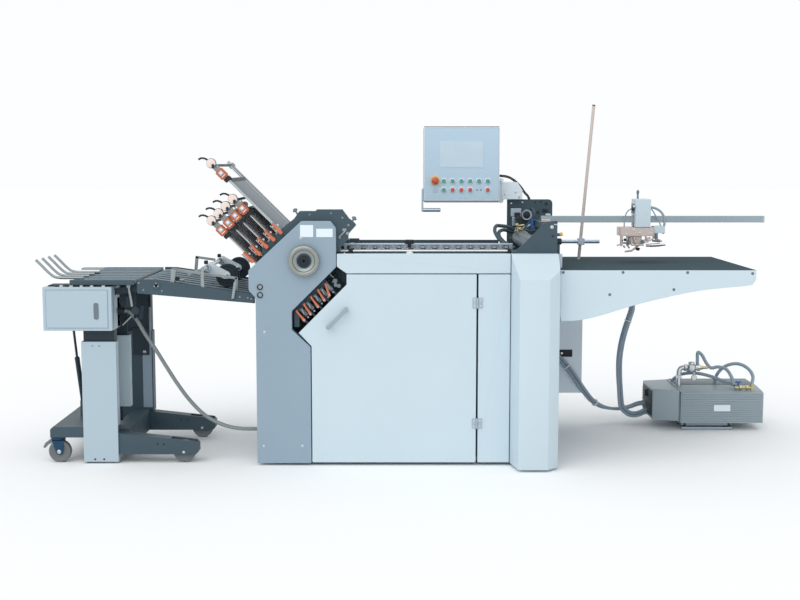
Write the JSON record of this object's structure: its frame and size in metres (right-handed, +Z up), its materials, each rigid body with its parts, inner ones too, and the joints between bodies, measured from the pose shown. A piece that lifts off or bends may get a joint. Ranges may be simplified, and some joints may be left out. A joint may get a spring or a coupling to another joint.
{
  "type": "paper folding machine",
  "caption": "Floor-standing buckle paper folder with flat-pile feeder, register table, angled fold plates, a mobile belt delivery on casters and a vacuum pump with hoses.",
  "frame": {"origin": "centre of the footprint's bounding box on the floor", "axes": "+Z up, +X from the delivery towards the feeder, +Y from the operator's side to the back"},
  "size_m": [3.4111, 1.182, 1.6016],
  "materials": {
    "dark_frame": "dark grey satin paint",
    "grey_blue_cover": "grey-blue powder coat",
    "white_panel": "pale blue-white powder coat",
    "turned_aluminium": "brushed",
    "bright_steel": "ground steel",
    "motor_grey": "mid grey paint",
    "cream_plastic": "moulded",
    "orange_plastic": "moulded",
    "red_plastic": "gloss",
    "green_plastic": "gloss",
    "warm_metal": "anodised",
    "black_rubber": "moulded",
    "blue_steel": "dark blue zinc",
    "hose_grey": "ribbed grey hose"
  },
  "bodies": {
    "stand": {"base_frame": "dark_frame", "fold_unit_frame": "dark_frame", "fold_unit_cover": "grey_blue_cover", "drive_side_cover": "grey_blue_cover", "drive_motor": "motor_grey", "lower_fold_plates": "turned_aluminium", "top_beam_cover": "white_panel", "narrow_panel": "white_panel", "column_cover": "white_panel", "register_table": "dark_frame", "ball_rail": "turned_aluminium", "feeder_frame": "dark_frame", "suction_rail": "turned_aluminium", "panel_bracket": "white_panel", "electrical_box": "grey_blue_cover", "pump_housing": "motor_grey", "pump_valve": "bright_steel", "delivery_base": "grey_blue_cover", "delivery_column_cover": "white_panel", "delivery_cable": "hose_grey", "suction_hoses": "hose_grey", "blower_hoses": "hose_grey", "panel_cable": "black_rubber"},
    "handwheel_body": {"handwheel": "turned_aluminium"},
    "fold_roller_body": {"fold_roller": "bright_steel"},
    "suction_drum_body": {"suction_drum": "bright_steel"},
    "door": {"access_door": "white_panel"},
    "panel": {"control_panel": "white_panel"},
    "emergency": {"emergency_stop": "red_plastic"},
    "start": {"start_button": "green_plastic"},
    "stop": {"stop_button": "red_plastic"},
    "pile": {"pile_table": "white_panel"},
    "separator": {"separator_head": "warm_metal"},
    "plate_1": {"fold_plate_1": "turned_aluminium"},
    "plate_2": {"fold_plate_2": "turned_aluminium"},
    "plate_3": {"fold_plate_3": "turned_aluminium"},
    "plate_4": {"fold_plate_4": "turned_aluminium"},
    "plate_5": {"fold_plate_5": "turned_aluminium"},
    "knob_1": {"plate_knob_1": "cream_plastic"},
    "knob_2": {"plate_knob_2": "cream_plastic"},
    "knob_3": {"plate_knob_3": "cream_plastic"},
    "knob_4": {"plate_knob_4": "cream_plastic"},
    "knob_5": {"plate_knob_5": "cream_plastic"},
    "lever_1": {"clamp_lever_1": "orange_plastic"},
    "lever_2": {"clamp_lever_2": "orange_plastic"},
    "lever_3": {"clamp_lever_3": "orange_plastic"},
    "lever_4": {"clamp_lever_4": "orange_plastic"},
    "lever_5": {"clamp_lever_5": "orange_plastic"},
    "lift": {"lift_frame": "dark_frame", "belt_table": "dark_frame", "inclined_conveyor": "dark_frame", "terminal_box": "white_panel"},
    "press": {"press_arm": "white_panel"},
    "press_roll": {"press_wheels": "black_rubber"},
    "fork_front": {"caster_fork_front": "blue_steel"},
    "fork_rear": {"caster_fork_rear": "blue_steel"},
    "wheel_front": {"caster_wheel_front": "black_rubber"},
    "wheel_rear": {"caster_wheel_rear": "black_rubber"},
    "tail_wheel_front": {"fixed_wheel_front": "black_rubber"},
    "tail_wheel_rear": {"fixed_wheel_rear": "black_rubber"}
  },
  "joints": [
    {"name": "handwheel_spin", "type": "hinge", "parent": "stand", "child": "handwheel_body", "pos_m": [-0.51507, -0.2, 0.9058], "axis": [0, 1, 0], "continuous": true},
    {"name": "fold_roller_spin", "type": "hinge", "parent": "stand", "child": "fold_roller_body", "pos_m": [-0.55099, -0.2, 0.86988], "axis": [0, 1, 0], "continuous": true},
    {"name": "suction_drum_spin", "type": "hinge", "parent": "stand", "child": "suction_drum_body", "pos_m": [0.486, -0.2, 0.964], "axis": [0, 1, 0], "continuous": true},
    {"name": "door_hinge", "type": "hinge", "parent": "stand", "child": "door", "pos_m": [0.2375, -0.468, 0.43], "axis": [0, 0, 1], "range_deg": [0, 110]},
    {"name": "panel_swivel", "type": "hinge", "parent": "stand", "child": "panel", "pos_m": [0.392, 0.252, 1.2], "axis": [0, 0, 1], "range_deg": [-10, 60]},
    {"name": "emergency_push", "type": "slide", "parent": "panel", "child": "emergency", "axis": [0, 1, 0], "range_m": [0, 0.006], "stiffness_N_per_m": 600},
    {"name": "start_push", "type": "slide", "parent": "panel", "child": "start", "axis": [0, 1, 0], "range_m": [0, 0.0035], "stiffness_N_per_m": 500},
    {"name": "stop_push", "type": "slide", "parent": "panel", "child": "stop", "axis": [0, 1, 0], "range_m": [0, 0.0035], "stiffness_N_per_m": 500},
    {"name": "pile_lift", "type": "slide", "parent": "stand", "child": "pile", "axis": [0, 0, 1], "range_m": [-0.42, 0]},
    {"name": "separator_slide", "type": "slide", "parent": "stand", "child": "separator", "axis": [1, 0, 0], "range_m": [-0.18, 0.22]},
    {"name": "plate_1_slide", "type": "slide", "parent": "stand", "child": "plate_1", "axis": [-0.7071, 0, 0.7071], "range_m": [0, 0.2]},
    {"name": "plate_2_slide", "type": "slide", "parent": "stand", "child": "plate_2", "axis": [-0.7071, 0, 0.7071], "range_m": [0, 0.2]},
    {"name": "plate_3_slide", "type": "slide", "parent": "stand", "child": "plate_3", "axis": [-0.7071, 0, 0.7071], "range_m": [0, 0.2]},
    {"name": "plate_4_slide", "type": "slide", "parent": "stand", "child": "plate_4", "axis": [-0.7071, 0, 0.7071], "range_m": [0, 0.2]},
    {"name": "plate_5_slide", "type": "slide", "parent": "stand", "child": "plate_5", "axis": [-0.7071, 0, 0.7071], "range_m": [0, 0.2]},
    {"name": "knob_1_turn", "type": "hinge", "parent": "plate_1", "child": "knob_1", "pos_m": [-0.90504, -0.44, 1.31557], "axis": [0, 1, 0], "range_deg": [-30, 30]},
    {"name": "knob_2_turn", "type": "hinge", "parent": "plate_2", "child": "knob_2", "pos_m": [-0.81453, -0.44, 1.16284], "axis": [0, 1, 0], "range_deg": [-30, 30]},
    {"name": "knob_3_turn", "type": "hinge", "parent": "plate_3", "child": "knob_3", "pos_m": [-0.84564, -0.44, 1.13172], "axis": [0, 1, 0], "range_deg": [-30, 30]},
    {"name": "knob_4_turn", "type": "hinge", "parent": "plate_4", "child": "knob_4", "pos_m": [-0.87676, -0.44, 1.10061], "axis": [0, 1, 0], "range_deg": [-30, 30]},
    {"name": "knob_5_turn", "type": "hinge", "parent": "plate_5", "child": "knob_5", "pos_m": [-0.90787, -0.44, 1.0695], "axis": [0, 1, 0], "range_deg": [-30, 30]},
    {"name": "lever_1_clamp", "type": "hinge", "parent": "stand", "child": "lever_1", "pos_m": [-0.6169, -0.447, 1.02743], "axis": [0, 1, 0], "range_deg": [-20, 0]},
    {"name": "lever_2_clamp", "type": "hinge", "parent": "stand", "child": "lever_2", "pos_m": [-0.64801, -0.447, 0.99631], "axis": [0, 1, 0], "range_deg": [-20, 0]},
    {"name": "lever_3_clamp", "type": "hinge", "parent": "stand", "child": "lever_3", "pos_m": [-0.67912, -0.447, 0.9652], "axis": [0, 1, 0], "range_deg": [-20, 0]},
    {"name": "lever_4_clamp", "type": "hinge", "parent": "stand", "child": "lever_4", "pos_m": [-0.71023, -0.447, 0.93409], "axis": [0, 1, 0], "range_deg": [-20, 0]},
    {"name": "lever_5_clamp", "type": "hinge", "parent": "stand", "child": "lever_5", "pos_m": [-0.74135, -0.447, 0.90298], "axis": [0, 1, 0], "range_deg": [-20, 0]},
    {"name": "delivery_lift", "type": "slide", "parent": "stand", "child": "lift", "axis": [0, 0, 1], "range_m": [-0.04, 0.03], "deforming": ["delivery_cable"]},
    {"name": "press_tilt", "type": "hinge", "parent": "lift", "child": "press", "pos_m": [-0.962, -0.1, 0.862], "axis": [0, -1, 0], "range_deg": [0, 25]},
    {"name": "press_spin", "type": "hinge", "parent": "press", "child": "press_roll", "pos_m": [-0.876, -0.1, 0.824], "axis": [0, 1, 0], "continuous": true},
    {"name": "fork_front_swivel", "type": "hinge", "parent": "stand", "child": "fork_front", "pos_m": [-1.623, -0.389, 0.1], "axis": [0, 0, 1], "continuous": true},
    {"name": "fork_rear_swivel", "type": "hinge", "parent": "stand", "child": "fork_rear", "pos_m": [-1.623, 0.127, 0.1], "axis": [0, 0, 1], "continuous": true},
    {"name": "wheel_front_spin", "type": "hinge", "parent": "fork_front", "child": "wheel_front", "pos_m": [-1.615, -0.389, 0.05], "axis": [0, 1, 0], "continuous": true},
    {"name": "wheel_rear_spin", "type": "hinge", "parent": "fork_rear", "child": "wheel_rear", "pos_m": [-1.615, 0.127, 0.05], "axis": [0, 1, 0], "continuous": true},
    {"name": "tail_wheel_front_spin", "type": "hinge", "parent": "stand", "child": "tail_wheel_front", "pos_m": [-1.06, -0.389, 0.05], "axis": [0, 1, 0], "continuous": true},
    {"name": "tail_wheel_rear_spin", "type": "hinge", "parent": "stand", "child": "tail_wheel_rear", "pos_m": [-1.06, 0.127, 0.05], "axis": [0, 1, 0], "continuous": true}
  ],
  "couplings": [
    {"joint": "fold_roller_spin", "follows": "handwheel_spin", "ratio": -1},
    {"joint": "suction_drum_spin", "follows": "handwheel_spin", "ratio": -0.6579}
  ]
}
